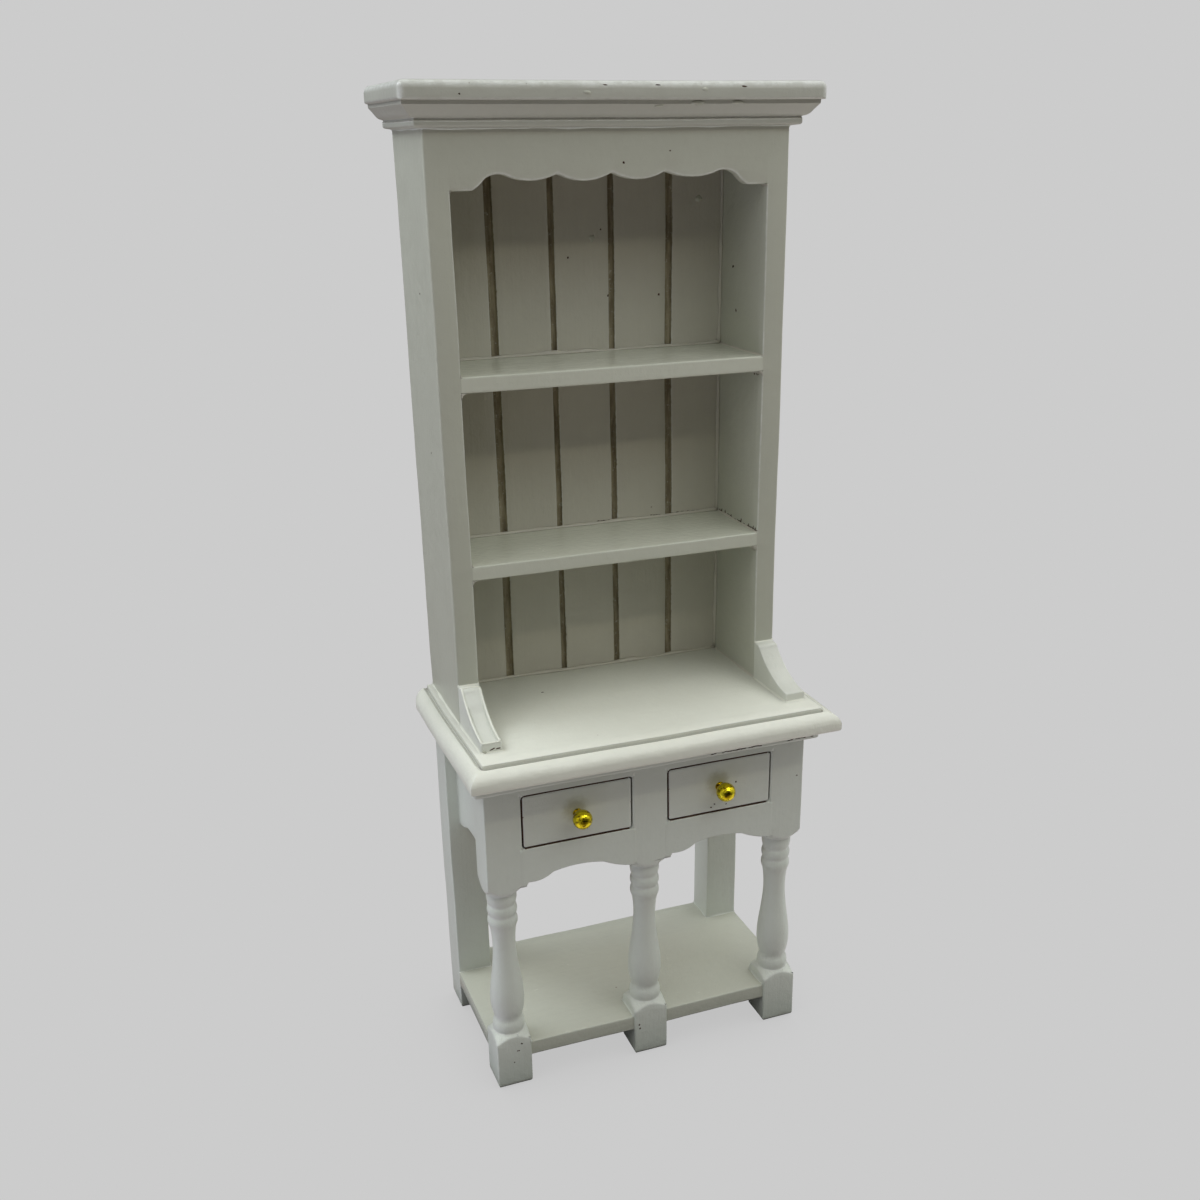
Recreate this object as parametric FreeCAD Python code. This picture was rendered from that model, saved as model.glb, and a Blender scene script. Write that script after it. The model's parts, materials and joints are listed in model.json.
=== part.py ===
import FreeCAD, Part
import os

# Miniature dresser at 1:12, in millimetres.
# Origin: floor level, at the centre of the footprint, in the plane of the hutch front.  +X right, -Y front, +Z up.
# Every piece is a separate closed solid that meets its neighbours face to face.

os.makedirs("parts", exist_ok=True)
V = FreeCAD.Vector

# ---- overall heights and planes ----
TOTAL_H = 180.0
REAR_Y = 21.6
BASE_FRONT_Y = -14.1
COUNTER_Z = 72.9

# ---- hutch ----
HUTCH_HALF = 32.0
SIDE_T = 4.0
HUTCH_TOP_Z = 177.55
BACK_FRONT_Y = 18.4
BACK_T = 3.0
GROOVE_PITCH = 11.35
GROOVE_SHIFT = 0.3
GROOVE_WIDTHS = (1.4, 1.0, 1.05, 1.25)
GROOVE_DEPTH = 0.9
UPPER_SHELF_Z = (132.7, 135.45)
LOWER_SHELF_Z = (99.9, 102.55)
VALANCE_T = 2.4
VALANCE_SHIFT = -0.4
VALANCE_BAY = 9.45
EDGE_R = 0.35

# ---- cornice ----
BOARD_HALF = 36.4
BOARD_FRONT_Y = -5.0
BOARD_R = 0.55
MOULD_REACH = 3.7
MOULD_FOOT_Z = 173.6

# ---- brackets on the counter ----
BRACKET_H = 7.4
BRACKET_LEN = 13.8

# ---- counter ----
SLAB_HALF = 33.2
SLAB_FRONT_Y = -18.75
SLAB_STEP = 0.6
COUNTER_CORNER_R = 2.4
NOSE_REACH = 2.85
NOSE_FOOT_Z = 68.65
SUB_TOP_Z = 65.3
SUB_TOP_REACH = 2.1
SUB_TOP_R = 0.6

# ---- base ----
BASE_HALF = 32.3
LEG = 7.0
LEG_EDGE_R = 0.3
FOOT_R = 0.7
ARCH_SPRING_Z = 44.5
ARCH_CROWN_Z = 46.95
DRAWER_GAP_Z = (52.3, 63.3)
RAIL_T = 1.8
RAIL_INSET = 2.4
APRON_T = 2.2
BACK_RAIL_Y = (16.5, 18.5)
BACK_RAIL_FOOT_Z = 47.0
DUST_T = 1.1
GUIDE_H = 3.0
SHELF_Z = (6.1, 9.3)
SHELF_FRONT_Y = -13.6

# ---- drawers ----
SIDE_GAP = 0.22
FACE_GAP = 0.2
FACE_T = 2.2
FACE_SETBACK = 0.1
FACE_CORNER_R = 0.6
FACE_EDGE_R = 0.2
BOX_CLEAR = 0.35
BOX_T = 1.2
BOX_H = 8.4
BOX_LIFT = 0.15
BOX_BOTTOM_T = 0.9
BOX_BACK_Y = 15.6
KNOB_R = 1.85
KNOB_OUT = 2.75
STEM_R = 0.6
ROSETTE_R = 0.95
ROSETTE_T = 0.25
PIN_R = 0.4
PIN_DEPTH = 1.4

# ---- values worked out from the above ----
INNER_HALF = HUTCH_HALF - SIDE_T
NOSE_TOP_Z = COUNTER_Z - SLAB_STEP
LEG_X = BASE_HALF - LEG / 2
FRONT_LEG_Y = BASE_FRONT_Y + LEG / 2
REAR_LEG_Y = REAR_Y - LEG / 2
POST_INNER = BASE_HALF - LEG
POST_REAR_Y = BASE_FRONT_Y + LEG
LEG_H = SUB_TOP_Z
BAY_MID = (LEG / 2 + POST_INNER) / 2
BAY_W = POST_INNER - LEG / 2


def save(shape, name):
    shape.exportStep(os.path.join("parts", name + ".step"))


def block(x0, x1, y0, y1, z0, z1):
    return Part.makeBox(x1 - x0, y1 - y0, z1 - z0, V(x0, y0, z0))


def round_edges(shape, radius, wanted):
    edges = [e for e in shape.Edges if wanted(e)]
    return shape.makeFillet(radius, edges)


def edge_at(axis, **places):
    """Picks straight edges along one axis that pass through the given places, e.g. x=3 or x=(3, 5)."""

    def wanted(edge):
        run = edge.Vertexes[-1].Point - edge.Vertexes[0].Point
        if abs(getattr(run, axis)) < 0.99 * edge.Length:
            return False
        middle = edge.CenterOfMass
        for key, value in places.items():
            options = value if isinstance(value, tuple) else (value,)
            if not any(abs(getattr(middle, key) - v) < 0.01 for v in options):
                return False
        return True

    return wanted


def outline_face(steps, place):
    """Face from steps: (a, b) is a straight run to a point, (via, end) is an arc to end; the last step closes it."""
    edges = []
    here = steps[0]
    for step in steps[1:] + [steps[0]]:
        if isinstance(step[0], tuple):
            edges.append(Part.Arc(place(*here), place(*step[0]), place(*step[1])).toShape())
            here = step[1]
        else:
            edges.append(Part.makeLine(place(*here), place(*step)))
            here = step
    return Part.Face(Part.Wire(edges))


def prism_x(steps, x0, x1):
    return outline_face(steps, lambda y, z: V(x0, y, z)).extrude(V(x1 - x0, 0, 0))


def prism_y(steps, y0, y1):
    return outline_face(steps, lambda x, z: V(x, y0, z)).extrude(V(0, y1 - y0, 0))


def prism_z(steps, z0, z1):
    return outline_face(steps, lambda x, y: V(x, y, z0)).extrude(V(0, 0, z1 - z0))


def run_end(step):
    """Point that a step ends at, whether the step is a straight run or an arc."""
    return step[1] if isinstance(step[0], tuple) else step


def backwards(steps):
    """The same open run of steps, drawn from its last point back to its first."""
    run = [run_end(steps[-1])]
    for index in range(len(steps) - 1, 0, -1):
        end = run_end(steps[index - 1])
        is_arc = isinstance(steps[index][0], tuple)
        run.append((steps[index][0], end) if is_arc else end)
    return run


def flipped(step):
    """A step with its first coordinate negated."""
    if isinstance(step[0], tuple):
        return (flipped(step[0]), flipped(step[1]))
    return (-step[0], step[1])


def mirrored(steps):
    """Closed outline from its right half, given from the bottom to the top."""
    return steps + [flipped(step) for step in backwards(steps)]


def edged_board(front_steps, side_steps, x_reach, y_front):
    """Board whose front and side edges share one profile, mitred at the corners."""
    front = prism_x(front_steps, -x_reach, x_reach)
    sides = prism_y(side_steps, y_front, REAR_Y)
    return front.common(sides)


# ---- cornice ----
def cornice_top_board():
    board = block(-BOARD_HALF, BOARD_HALF, BOARD_FRONT_Y, REAR_Y, HUTCH_TOP_Z, TOTAL_H)
    board = round_edges(board, BOARD_R, edge_at("z", y=BOARD_FRONT_Y))

    def rim(edge):
        box = edge.BoundBox
        flat = box.ZLength < 0.01
        return flat and not (box.YMin > REAR_Y - 0.01)

    return round_edges(board, BOARD_R * 0.8, rim)


def moulding_profile(direction, base):
    """Ovolo over a quirk and a fillet; `base` is the face that it is glued to."""

    def at(reach, z):
        return (base + direction * reach, z)

    return [
        at(0, MOULD_FOOT_Z),
        at(1.1, MOULD_FOOT_Z + 0.15),
        (at(1.4, MOULD_FOOT_Z + 0.3), at(1.5, MOULD_FOOT_Z + 0.6)),
        at(1.5, MOULD_FOOT_Z + 1.05),
        at(1.15, MOULD_FOOT_Z + 1.2),
        at(1.15, MOULD_FOOT_Z + 1.45),
        at(1.6, MOULD_FOOT_Z + 1.5),
        (at(2.95, MOULD_FOOT_Z + 2.15), at(MOULD_REACH, MOULD_FOOT_Z + 3.35)),
        at(MOULD_REACH, HUTCH_TOP_Z),
        at(0, HUTCH_TOP_Z),
    ]


def cornice_front_moulding():
    reach = MOULD_REACH + 0.5
    stick = prism_x(moulding_profile(-1, 0.0), -BOARD_HALF - 1, BOARD_HALF + 1)
    plan = [
        (-HUTCH_HALF, 0),
        (-HUTCH_HALF - reach, -reach),
        (HUTCH_HALF + reach, -reach),
        (HUTCH_HALF, 0),
    ]
    return stick.common(prism_z(plan, MOULD_FOOT_Z - 1, TOTAL_H))


def cornice_side_moulding(side):
    reach = MOULD_REACH + 0.5
    stick = prism_y(moulding_profile(side, side * HUTCH_HALF), -reach - 1, REAR_Y)
    plan = [
        (side * HUTCH_HALF, 0),
        (side * (HUTCH_HALF + reach), -reach),
        (side * (HUTCH_HALF + reach), REAR_Y),
        (side * HUTCH_HALF, REAR_Y),
    ]
    return stick.common(prism_z(plan, MOULD_FOOT_Z - 1, TOTAL_H))


# ---- hutch ----
def hutch_side(side):
    inner = side * INNER_HALF
    outer = side * HUTCH_HALF
    board = block(min(inner, outer), max(inner, outer), 0, REAR_Y, COUNTER_Z, HUTCH_TOP_Z)
    return round_edges(board, EDGE_R, edge_at("z", x=outer))


def hutch_back_panel():
    panel = block(-INNER_HALF, INNER_HALF, BACK_FRONT_Y, BACK_FRONT_Y + BACK_T, COUNTER_Z, HUTCH_TOP_Z)
    for index, width in enumerate(GROOVE_WIDTHS):
        x = GROOVE_SHIFT + (index - 1.5) * GROOVE_PITCH
        groove = block(
            x - width / 2,
            x + width / 2,
            BACK_FRONT_Y - 1,
            BACK_FRONT_Y + GROOVE_DEPTH,
            COUNTER_Z - 1,
            HUTCH_TOP_Z + 1,
        )
        panel = panel.cut(groove)
    return panel


def hutch_shelf(z_range):
    board = block(-INNER_HALF, INNER_HALF, 0, BACK_FRONT_Y, z_range[0], z_range[1])
    return round_edges(board, EDGE_R, edge_at("x", y=0))


def hutch_valance():
    """Top rail with four shallow scallops between an ogee and a flat at each end."""
    flat_z = 164.4
    cusp_z = 166.8
    dip_z = 165.6
    cusps = [VALANCE_SHIFT + place * VALANCE_BAY for place in (-1, 0, 1)]

    def end_run(cusp):
        """From an outer cusp out to the flat, for the right end."""
        return [
            (cusp, cusp_z),
            ((14.0, 165.8), (18.0, 166.35)),
            ((20.7, 166.75), (22.2, 166.1)),
            ((23.1, 165.2), (24.3, flat_z)),
            (INNER_HALF, flat_z),
            (INNER_HALF, HUTCH_TOP_Z),
        ]

    left = [flipped(step) for step in backwards(end_run(-cusps[0]))]
    scallops = [(((a + b) / 2, dip_z), (b, cusp_z)) for a, b in zip(cusps, cusps[1:])]
    return prism_y(left + scallops + end_run(cusps[2])[1:], 0, VALANCE_T)


def counter_bracket(side):
    """Wedge in front of a hutch side: a short flat top, a hollow slope and a low upright toe."""
    toe_z = COUNTER_Z + 1.35
    top_z = COUNTER_Z + BRACKET_H
    steps = [
        (0, COUNTER_Z),
        (0, top_z),
        (-1.5, top_z - 0.05),
        ((-1.95, top_z - 0.2), (-2.3, top_z - 0.6)),
        ((-7.2, COUNTER_Z + 3.4), (-BRACKET_LEN + 0.4, toe_z + 0.35)),
        ((-BRACKET_LEN + 0.1, toe_z + 0.2), (-BRACKET_LEN, toe_z)),
        (-BRACKET_LEN, COUNTER_Z),
    ]
    inner = side * INNER_HALF
    outer = side * HUTCH_HALF
    return prism_x(steps, min(inner, outer), max(inner, outer))


# ---- counter ----
def nose_profile(direction, base):
    """Bullnose edge: a flat margin, a large ovolo and a small radius under it, from the bottom up."""

    def at(reach, z):
        return (base + direction * reach, z)

    foot_r = 0.7
    return [
        at(NOSE_REACH - foot_r, NOSE_FOOT_Z),
        (at(NOSE_REACH - 0.2, NOSE_FOOT_Z + 0.2), at(NOSE_REACH, NOSE_FOOT_Z + foot_r)),
        at(NOSE_REACH, NOSE_FOOT_Z + 1.6),
        (at(NOSE_REACH - 0.6, NOSE_TOP_Z - 0.85), at(NOSE_REACH - 2.1, NOSE_TOP_Z)),
    ]


def counter_top():
    front = nose_profile(-1, SLAB_FRONT_Y)
    front_steps = [(REAR_Y, NOSE_FOOT_Z)] + front + [(REAR_Y, NOSE_TOP_Z)]
    side_steps = mirrored(nose_profile(1, SLAB_HALF))
    nose = edged_board(front_steps, side_steps, SLAB_HALF + 10, SLAB_FRONT_Y - 10)
    slab = block(-SLAB_HALF, SLAB_HALF, SLAB_FRONT_Y, REAR_Y, NOSE_TOP_Z - 0.5, COUNTER_Z)
    slab = round_edges(slab, 0.3, edge_at("z", y=SLAB_FRONT_Y))
    half = SLAB_HALF + NOSE_REACH
    plan = block(-half, half, SLAB_FRONT_Y - NOSE_REACH, REAR_Y, NOSE_FOOT_Z - 1, COUNTER_Z + 1)
    plan = round_edges(plan, COUNTER_CORNER_R, edge_at("z", y=REAR_Y))
    return nose.fuse(slab).common(plan).removeSplitter()


def counter_subtop():
    half = BASE_HALF + SUB_TOP_REACH
    front = BASE_FRONT_Y - SUB_TOP_REACH
    board = block(-half, half, front, REAR_Y, SUB_TOP_Z, NOSE_FOOT_Z)
    board = round_edges(board, SUB_TOP_R, edge_at("z", y=front))

    def lower_rim(edge):
        box = edge.BoundBox
        return box.ZMax < SUB_TOP_Z + 0.01 and box.YMin < REAR_Y - 0.01

    return round_edges(board, SUB_TOP_R * 0.9, lower_rim)


# ---- base: legs ----
def turned_profile():
    """Half outline of a front leg about its axis, from the floor up: foot, turning and post."""
    outside = LEG * 0.76  # just past the corners of the square stock
    vase = Part.BSplineCurve()
    vase_points = ((2.7, 15.3), (3.3, 19.3), (2.75, 24.8), (2.2, 30.2), (2.55, 35.5))
    vase.interpolate([V(r, 0, z) for r, z in vase_points])

    def line(a, b):
        return Part.makeLine(V(a[0], 0, a[1]), V(b[0], 0, b[1]))

    def arc(a, b, c):
        return Part.Arc(V(a[0], 0, a[1]), V(b[0], 0, b[1]), V(c[0], 0, c[1])).toShape()

    return [
        line((0, 0), (outside, 0)),
        line((outside, 0), (outside, 10.1)),
        line((outside, 10.1), (2.95, 12.15)),
        arc((2.95, 12.15), (3.1, 13.4), (2.7, 14.7)),
        line((2.7, 14.7), (2.7, 15.3)),
        vase.toShape(),
        arc((2.55, 35.5), (2.85, 36.8), (2.5, 37.9)),
        arc((2.5, 37.9), (2.85, 39.1), (2.5, 40.2)),
        arc((2.5, 40.2), (2.85, 41.5), (2.75, 42.9)),
        line((2.75, 42.9), (3.3, 43.3)),
        line((3.3, 43.3), (outside, 45.35)),
        line((outside, 45.35), (outside, LEG_H)),
        line((outside, LEG_H), (0, LEG_H)),
        line((0, LEG_H), (0, 0)),
    ]


def square_stock(x, y):
    half = LEG / 2
    stock = block(x - half, x + half, y - half, y + half, 0, LEG_H)
    return round_edges(stock, LEG_EDGE_R, edge_at("z"))


def round_foot(leg):
    def floor_edge(edge):
        return edge.BoundBox.ZMax < 0.01

    return round_edges(leg, FOOT_R, floor_edge)


def front_leg(x):
    turned = Part.Face(Part.Wire(turned_profile())).revolve(V(0, 0, 0), V(0, 0, 1), 360)
    turned.translate(V(x, FRONT_LEG_Y, 0))
    return turned.common(square_stock(x, FRONT_LEG_Y))


def rear_leg(x):
    return round_foot(square_stock(x, REAR_LEG_Y))


# ---- base: rails ----
def arch_steps(a0, a1, top_z, flat, cusp):
    """Rail outline with a shallow arch under it; `cusp` adds the small step at its low-number end."""
    middle = (a0 + a1) / 2
    start = a0 + flat
    end = a1 - flat
    quarter = (end - start) / 4
    low_z = ARCH_SPRING_Z + 0.45
    steps = [(a1, top_z), (a0, top_z), (a0, ARCH_SPRING_Z)]
    if cusp:
        steps += [(start - 0.2, ARCH_SPRING_Z + 0.15), (start, low_z + 0.25)]
    else:
        steps += [(start, ARCH_SPRING_Z + 0.1)]
    haunch = (middle - quarter, ARCH_CROWN_Z - 0.55)
    steps.append(((start + quarter * 0.45, low_z + 0.25), haunch))
    steps.append(((middle, ARCH_CROWN_Z), (middle + quarter, ARCH_CROWN_Z - 0.55)))
    steps.append(((end - quarter * 0.45, low_z + 0.25), (end, ARCH_SPRING_Z + 0.1)))
    steps.append((a1, ARCH_SPRING_Z))
    return steps


def front_apron(side):
    near = side * LEG / 2
    far = side * POST_INNER
    steps = arch_steps(min(near, far), max(near, far), DRAWER_GAP_Z[0], 1.0, True)
    return prism_y(steps, BASE_FRONT_Y, BASE_FRONT_Y + APRON_T)


def front_top_rail(side):
    near = side * LEG / 2
    far = side * POST_INNER
    back = BASE_FRONT_Y + APRON_T
    return block(min(near, far), max(near, far), BASE_FRONT_Y, back, DRAWER_GAP_Z[1], SUB_TOP_Z)


def side_rail(side):
    outer = side * (BASE_HALF - RAIL_INSET)
    inner = outer - side * RAIL_T
    steps = arch_steps(POST_REAR_Y, REAR_Y - LEG, SUB_TOP_Z, 0.6, False)
    return prism_x(steps, min(outer, inner), max(outer, inner))


def back_rail():
    return block(-POST_INNER, POST_INNER, BACK_RAIL_Y[0], BACK_RAIL_Y[1], BACK_RAIL_FOOT_Z, SUB_TOP_Z)


def dust_board():
    """Thin floor under both drawers, notched round the three front posts and the two rear legs."""
    half = BASE_HALF - RAIL_INSET - RAIL_T
    top = DRAWER_GAP_Z[0]
    board = block(-half, half, BASE_FRONT_Y + APRON_T, BACK_RAIL_Y[0], top - DUST_T, top)
    for x in (-LEG_X, 0, LEG_X):
        post = block(x - LEG / 2, x + LEG / 2, BASE_FRONT_Y, POST_REAR_Y, 0, LEG_H)
        board = board.cut(post)
    for x in (-LEG_X, LEG_X):
        post = block(x - LEG / 2, x + LEG / 2, REAR_Y - LEG, REAR_Y, 0, LEG_H)
        board = board.cut(post)
    return board


def drawer_guide(x0, x1):
    top = DRAWER_GAP_Z[0]
    return block(x0, x1, POST_REAR_Y, REAR_Y - LEG, top, top + GUIDE_H)


def bottom_shelf():
    board = block(-BASE_HALF, BASE_HALF, SHELF_FRONT_Y, REAR_Y, SHELF_Z[0], SHELF_Z[1])
    board = round_edges(board, EDGE_R, edge_at("x", y=SHELF_FRONT_Y))
    for x in (-LEG_X, 0, LEG_X):
        foot = block(x - LEG / 2, x + LEG / 2, BASE_FRONT_Y - 1, POST_REAR_Y, 0, LEG_H)
        board = board.cut(foot)
    for x in (-LEG_X, LEG_X):
        foot = block(x - LEG / 2, x + LEG / 2, REAR_Y - LEG, REAR_Y + 1, 0, LEG_H)
        board = board.cut(foot)
    return board


# ---- drawers ----
def drawer_face(centre):
    half = BAY_W / 2 - SIDE_GAP
    y0 = BASE_FRONT_Y + FACE_SETBACK
    z0 = DRAWER_GAP_Z[0] + FACE_GAP
    z1 = DRAWER_GAP_Z[1] - FACE_GAP
    face = block(centre - half, centre + half, y0, y0 + FACE_T, z0, z1)
    face = round_edges(face, FACE_CORNER_R, edge_at("y"))

    def front_rim(edge):
        return edge.BoundBox.YMax < y0 + 0.01

    face = round_edges(face, FACE_EDGE_R, front_rim)
    pin_z = (z0 + z1) / 2
    hole = Part.makeCylinder(PIN_R, PIN_DEPTH, V(centre, y0, pin_z), V(0, 1, 0))
    return face.cut(hole)


def drawer_boards(centre):
    half = BAY_W / 2 - BOX_CLEAR
    front = BASE_FRONT_Y + FACE_SETBACK + FACE_T
    z0 = DRAWER_GAP_Z[0] + BOX_LIFT + 0.05
    z1 = z0 + BOX_H
    inner = half - BOX_T
    floor_z = z0 + BOX_BOTTOM_T
    return {
        "left_side": block(centre - half, centre - inner, front, BOX_BACK_Y, z0, z1),
        "right_side": block(centre + inner, centre + half, front, BOX_BACK_Y, z0, z1),
        "back": block(centre - inner, centre + inner, BOX_BACK_Y - BOX_T, BOX_BACK_Y, z0, z1),
        "bottom": block(centre - inner, centre + inner, front, BOX_BACK_Y - BOX_T, z0, floor_z),
    }


def drawer_knob(centre):
    """Round knob on a short stem, with a small rosette and a pin that goes into the drawer front."""
    y0 = BASE_FRONT_Y + FACE_SETBACK
    z = (DRAWER_GAP_Z[0] + DRAWER_GAP_Z[1]) / 2
    outward = V(0, -1, 0)
    ball = Part.makeSphere(KNOB_R, V(centre, y0 - KNOB_OUT, z))
    stem = Part.makeCylinder(STEM_R, KNOB_OUT, V(centre, y0, z), outward)
    rosette = Part.makeCylinder(ROSETTE_R, ROSETTE_T, V(centre, y0, z), outward)
    pin = Part.makeCylinder(PIN_R, PIN_DEPTH + 0.5, V(centre, y0 + PIN_DEPTH, z), outward)
    return ball.fuse(stem).fuse(rosette).fuse(pin).removeSplitter()


# ---- write every piece ----
def write_hutch():
    save(cornice_top_board(), "cornice_top_board")
    save(cornice_front_moulding(), "cornice_front_moulding")
    for name, side in (("left", -1), ("right", 1)):
        save(cornice_side_moulding(side), "cornice_" + name + "_moulding")
        save(hutch_side(side), "hutch_" + name + "_side")
        save(counter_bracket(side), name + "_counter_bracket")
    save(hutch_back_panel(), "hutch_back_panel")
    save(hutch_valance(), "hutch_valance")
    save(hutch_shelf(UPPER_SHELF_Z), "upper_shelf")
    save(hutch_shelf(LOWER_SHELF_Z), "lower_shelf")


def write_base():
    save(counter_top(), "counter_top")
    save(counter_subtop(), "counter_subtop")
    for name, x in (("left", -LEG_X), ("middle", 0), ("right", LEG_X)):
        save(round_foot(front_leg(x)), "front_" + name + "_leg")
    for name, side in (("left", -1), ("right", 1)):
        save(rear_leg(side * LEG_X), "rear_" + name + "_leg")
        save(side_rail(side), name + "_side_rail")
        save(front_apron(side), "front_" + name + "_apron")
        save(front_top_rail(side), "front_" + name + "_top_rail")
    save(back_rail(), "back_rail")
    save(dust_board(), "dust_board")
    rail_inner = BASE_HALF - RAIL_INSET - RAIL_T
    save(drawer_guide(-rail_inner, -POST_INNER), "left_drawer_guide")
    save(drawer_guide(-LEG / 2, LEG / 2), "middle_drawer_guide")
    save(drawer_guide(POST_INNER, rail_inner), "right_drawer_guide")
    save(bottom_shelf(), "bottom_shelf")


def write_drawers():
    for name, side in (("left", -1), ("right", 1)):
        centre = side * BAY_MID
        save(drawer_face(centre), name + "_drawer_front")
        save(drawer_knob(centre), name + "_drawer_knob")
        for board, shape in drawer_boards(centre).items():
            save(shape, name + "_drawer_" + board)


write_hutch()
write_base()
write_drawers()
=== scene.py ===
import bmesh
import bpy
import json
import math
import random
from mathutils import Matrix, Vector, noise
from mathutils.bvhtree import BVHTree


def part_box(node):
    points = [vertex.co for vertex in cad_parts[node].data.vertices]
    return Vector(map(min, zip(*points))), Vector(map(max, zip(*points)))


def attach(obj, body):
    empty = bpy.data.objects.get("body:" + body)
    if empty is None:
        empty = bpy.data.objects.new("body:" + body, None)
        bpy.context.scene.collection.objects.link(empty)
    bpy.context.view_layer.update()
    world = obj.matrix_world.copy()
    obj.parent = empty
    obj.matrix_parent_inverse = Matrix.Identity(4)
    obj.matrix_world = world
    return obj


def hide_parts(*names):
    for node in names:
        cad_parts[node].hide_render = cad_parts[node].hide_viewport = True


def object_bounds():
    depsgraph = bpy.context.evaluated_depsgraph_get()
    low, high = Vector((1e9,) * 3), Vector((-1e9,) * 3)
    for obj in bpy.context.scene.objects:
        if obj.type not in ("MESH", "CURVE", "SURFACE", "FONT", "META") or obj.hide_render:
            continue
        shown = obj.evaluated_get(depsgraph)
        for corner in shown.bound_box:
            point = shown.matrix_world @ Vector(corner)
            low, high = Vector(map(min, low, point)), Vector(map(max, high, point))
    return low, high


# Looks of a hand-painted white miniature dresser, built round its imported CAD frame.  Lengths are in metres.

MM = 0.001

# ---- camera ----
CAMERA_AT = Vector((-83.94, -220.71, 172.27)) * MM
CAMERA_AZIMUTH = math.radians(-21.182)
CAMERA_ELEVATION = math.radians(23.240)
CAMERA_ROLL = math.radians(-0.612)
CAMERA_LENS = 39.98
CAMERA_SENSOR = 36.0
CAMERA_SHIFT = (-0.0250, 0.0900)

# ---- paint skin ----
WELD = 0.002 * MM
TOUCH = 0.13 * MM
EDGE_R = 0.3 * MM
FINE_EDGE = 0.35
NEAR_BODY = 0.6 * MM
SHARP = math.radians(28)
CUT_PITCH = 2.6 * MM
WOBBLE = ((24 * MM, 0.16 * MM), (7 * MM, 0.045 * MM))
WOBBLE_SEED = 3
SOFTER = {"hutch_valance": 1.6, "cornice_front_moulding": 0.5, "cornice_left_moulding": 0.5}
SOFTER["cornice_right_moulding"] = 0.5
SOFTER["counter_top"] = 0.5
BOARD_LIFT = 0.35 * MM
BOARD_ROUND = 1.2 * MM
BOARD_FOOT_ROUND = 0.5 * MM
DRAWER_ROUND = 0.45 * MM
DRAWER_CORNER = 0.9 * MM
FOOT_ROUND = 1.2 * MM
OVOLO_FOOT = 1.5 * MM
OVOLO_HEIGHT = 1.9 * MM
OVOLO_DIP = 0.35 * MM
QUIRK_FOOT = 1.1 * MM
QUIRK_TOP = 1.48 * MM
QUIRK_FILL = 0.18 * MM
ROUND_CUTS = (0.25, 0.6, 1.0)
ROUND_MARK = 0.12
GAP_REACH = 0.55 * MM
FLUSH = ("front_left_apron", "front_right_apron", "front_left_top_rail", "front_right_top_rail")
FLUSH_LIFT = 0.05 * MM
COUNTER_STEP = 0.6 * MM
CHANNEL = 0.4 * MM

# ---- beads of paint in the joints ----
BEAD_R = 0.36 * MM
RAISED_R = 0.5 * MM
SEAM_HALF = 0.7 * MM
SEAM_RISE = 0.025 * MM
SEAM_INSET = 0.1 * MM
RIM_HALF = 0.3 * MM
RIM_RISE = 0.16 * MM
RIM_INSET = 0.34 * MM
RIM_PITCH = 0.5 * MM
RIDGE_SINK = 0.06 * MM
OPENING_R = 0.75 * MM
UNEVEN = 0.7
BEAD_PITCH = 1.5 * MM
BEAD_STEPS = 4
BEAD_SINK = 0.02 * MM
CHIP_RISE = 0.012 * MM
CHIP_SINK = 0.08 * MM
LUMP_RIM = 0.01 * MM
LUMP_CROWN = 0.17 * MM
MARK_SIDES = 11
MARK_REACH = 2.0 * MM
CRACK_PITCH = 0.55
LEFT, RIGHT = Vector((-1, 0, 0)), Vector((1, 0, 0))
FRONT, REAR = Vector((0, -1, 0)), Vector((0, 1, 0))
DOWN, UP = Vector((0, 0, -1)), Vector((0, 0, 1))

# ---- small damage: node, side, how many, the shares of its length and height it keeps to, ----
# ---- length and width in millimetres, and the most it turns in degrees ----
DAMAGE_SEED = 7
GROWTH = (0.8, 1.3)
PINHOLE = (0.38, 0.32)
CHIP = (0.8, 0.5)
SCRAPE = (0.8, 0.22)
CARCASS_CHIPS = (
    ("hutch_valance", FRONT, 2, (0.3, 1.0), (0.2, 0.8), PINHOLE, 90),
    ("cornice_top_board", FRONT, 1, (0.1, 0.9), (0.2, 0.5), PINHOLE, 90),
    ("cornice_top_board", FRONT, 3, (0.2, 0.8), (0.8, 0.9), SCRAPE, 8),
    ("hutch_left_side", LEFT, 2, (0.3, 0.9), (0.4, 0.95), PINHOLE, 90),
    ("hutch_right_side", LEFT, 2, (0.2, 0.8), (0.65, 0.85), CHIP, 90),
    ("hutch_back_panel", FRONT, 4, (0.3, 0.95), (0.62, 0.86), PINHOLE, 90),
    ("counter_top", UP, 1, (0.3, 0.7), (0.5, 0.8), PINHOLE, 90),
    ("left_counter_bracket", FRONT, 2, (0.1, 0.9), (0.05, 0.1), SCRAPE, 20),
    ("front_left_leg", FRONT, 4, (0.4, 0.9), (0.08, 0.15), PINHOLE, 90),
    ("front_middle_leg", FRONT, 2, (0.1, 0.5), (0.08, 0.15), PINHOLE, 90),
    ("front_right_leg", FRONT, 1, (0.4, 0.9), (0.7, 0.9), PINHOLE, 90),
)
DRAWER_CHIPS = (
    ("right_drawer_front", FRONT, 4, (0.4, 0.6), (0.08, 0.3), (0.4, 0.26), 40),
    ("right_drawer_front", FRONT, 1, (0.5, 0.8), (0.5, 0.7), PINHOLE, 90),
)
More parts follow.
